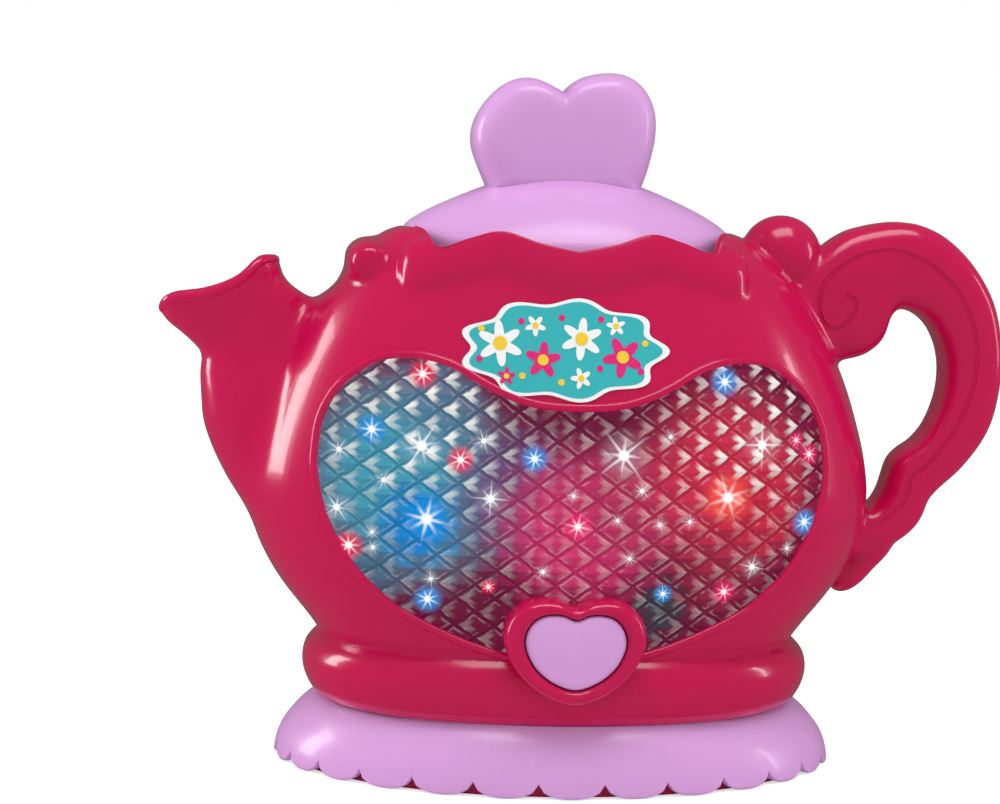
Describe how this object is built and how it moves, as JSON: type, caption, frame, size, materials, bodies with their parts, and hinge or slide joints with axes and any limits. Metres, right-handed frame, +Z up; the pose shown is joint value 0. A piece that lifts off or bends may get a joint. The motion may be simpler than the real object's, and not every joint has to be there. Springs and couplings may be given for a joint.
{
  "type": "toy teapot",
  "caption": "Toy teapot with a lit faceted window, heart push button, lift-off lid with a heart knob, spout that puffs mist, looped handle and scalloped saucer base.",
  "frame": {"origin": "middle of the underside of the base, on the surface that it stands on", "axes": "+X towards the handle, -Y towards the front with the window and the heart button, +Z up"},
  "size_m": [0.2224, 0.106, 0.1791],
  "materials": {
    "crimson_gloss": "gloss",
    "lilac_gloss": "gloss",
    "clear_lens": "clear gloss",
    "white_plastic": "satin",
    "badge_print": "gloss",
    "board_green": "satin",
    "led_clear": "clear gloss",
    "dark_plastic": "satin",
    "seal_rubber": "matt",
    "wick_cotton": "soft",
    "tank_pink": "translucent gloss",
    "steel": "satin",
    "cell_jacket": "printed film"
  },
  "bodies": {
    "teapot": {"front_shell": "crimson_gloss", "rear_shell": "crimson_gloss", "window_lens": "clear_lens", "light_tray": "white_plastic", "led_board": "board_green", "leds": "led_clear", "badge": "badge_print", "push_switch": "dark_plastic", "water_tank": "tank_pink", "cotton_wick": "wick_cotton", "disc_seal": "seal_rubber", "mist_disc": "steel", "mist_duct": "white_plastic", "saucer": "lilac_gloss", "base_plate": "crimson_gloss", "battery_door": "crimson_gloss", "door_screw": "steel", "batteries": "cell_jacket", "battery_contacts": "steel", "speaker": "dark_plastic", "speaker_clamp": "steel", "slide_switch": "steel", "main_board": "board_green", "board_parts": "dark_plastic", "board_screws": "steel", "led_screws": "steel", "tank_screws": "steel", "clamp_screws": "steel", "switch_screws": "steel", "shell_screws": "steel", "base_screws": "steel"},
    "heart_button": {"heart_button": "lilac_gloss", "switch_plunger": "dark_plastic"},
    "lid": {"lid_dome": "lilac_gloss", "heart_knob": "lilac_gloss", "knob_screws": "steel"},
    "tank_plug": {"tank_plug": "white_plastic"},
    "switch_knob": {"switch_knob": "dark_plastic"}
  },
  "joints": [
    {"name": "heart_button_press", "type": "slide", "parent": "teapot", "child": "heart_button", "axis": [0, 1, 0], "range_m": [0, 0.0015], "stiffness_N_per_m": 300},
    {"name": "lid_lift", "type": "slide", "parent": "teapot", "child": "lid", "axis": [0, 0, 1], "range_m": [0, 0.04]},
    {"name": "tank_plug_pull", "type": "slide", "parent": "teapot", "child": "tank_plug", "axis": [0, 0, 1], "range_m": [0, 0.0055]},
    {"name": "power_switch_slide", "type": "slide", "parent": "teapot", "child": "switch_knob", "axis": [0, 1, 0], "range_m": [0, 0.004]}
  ]
}
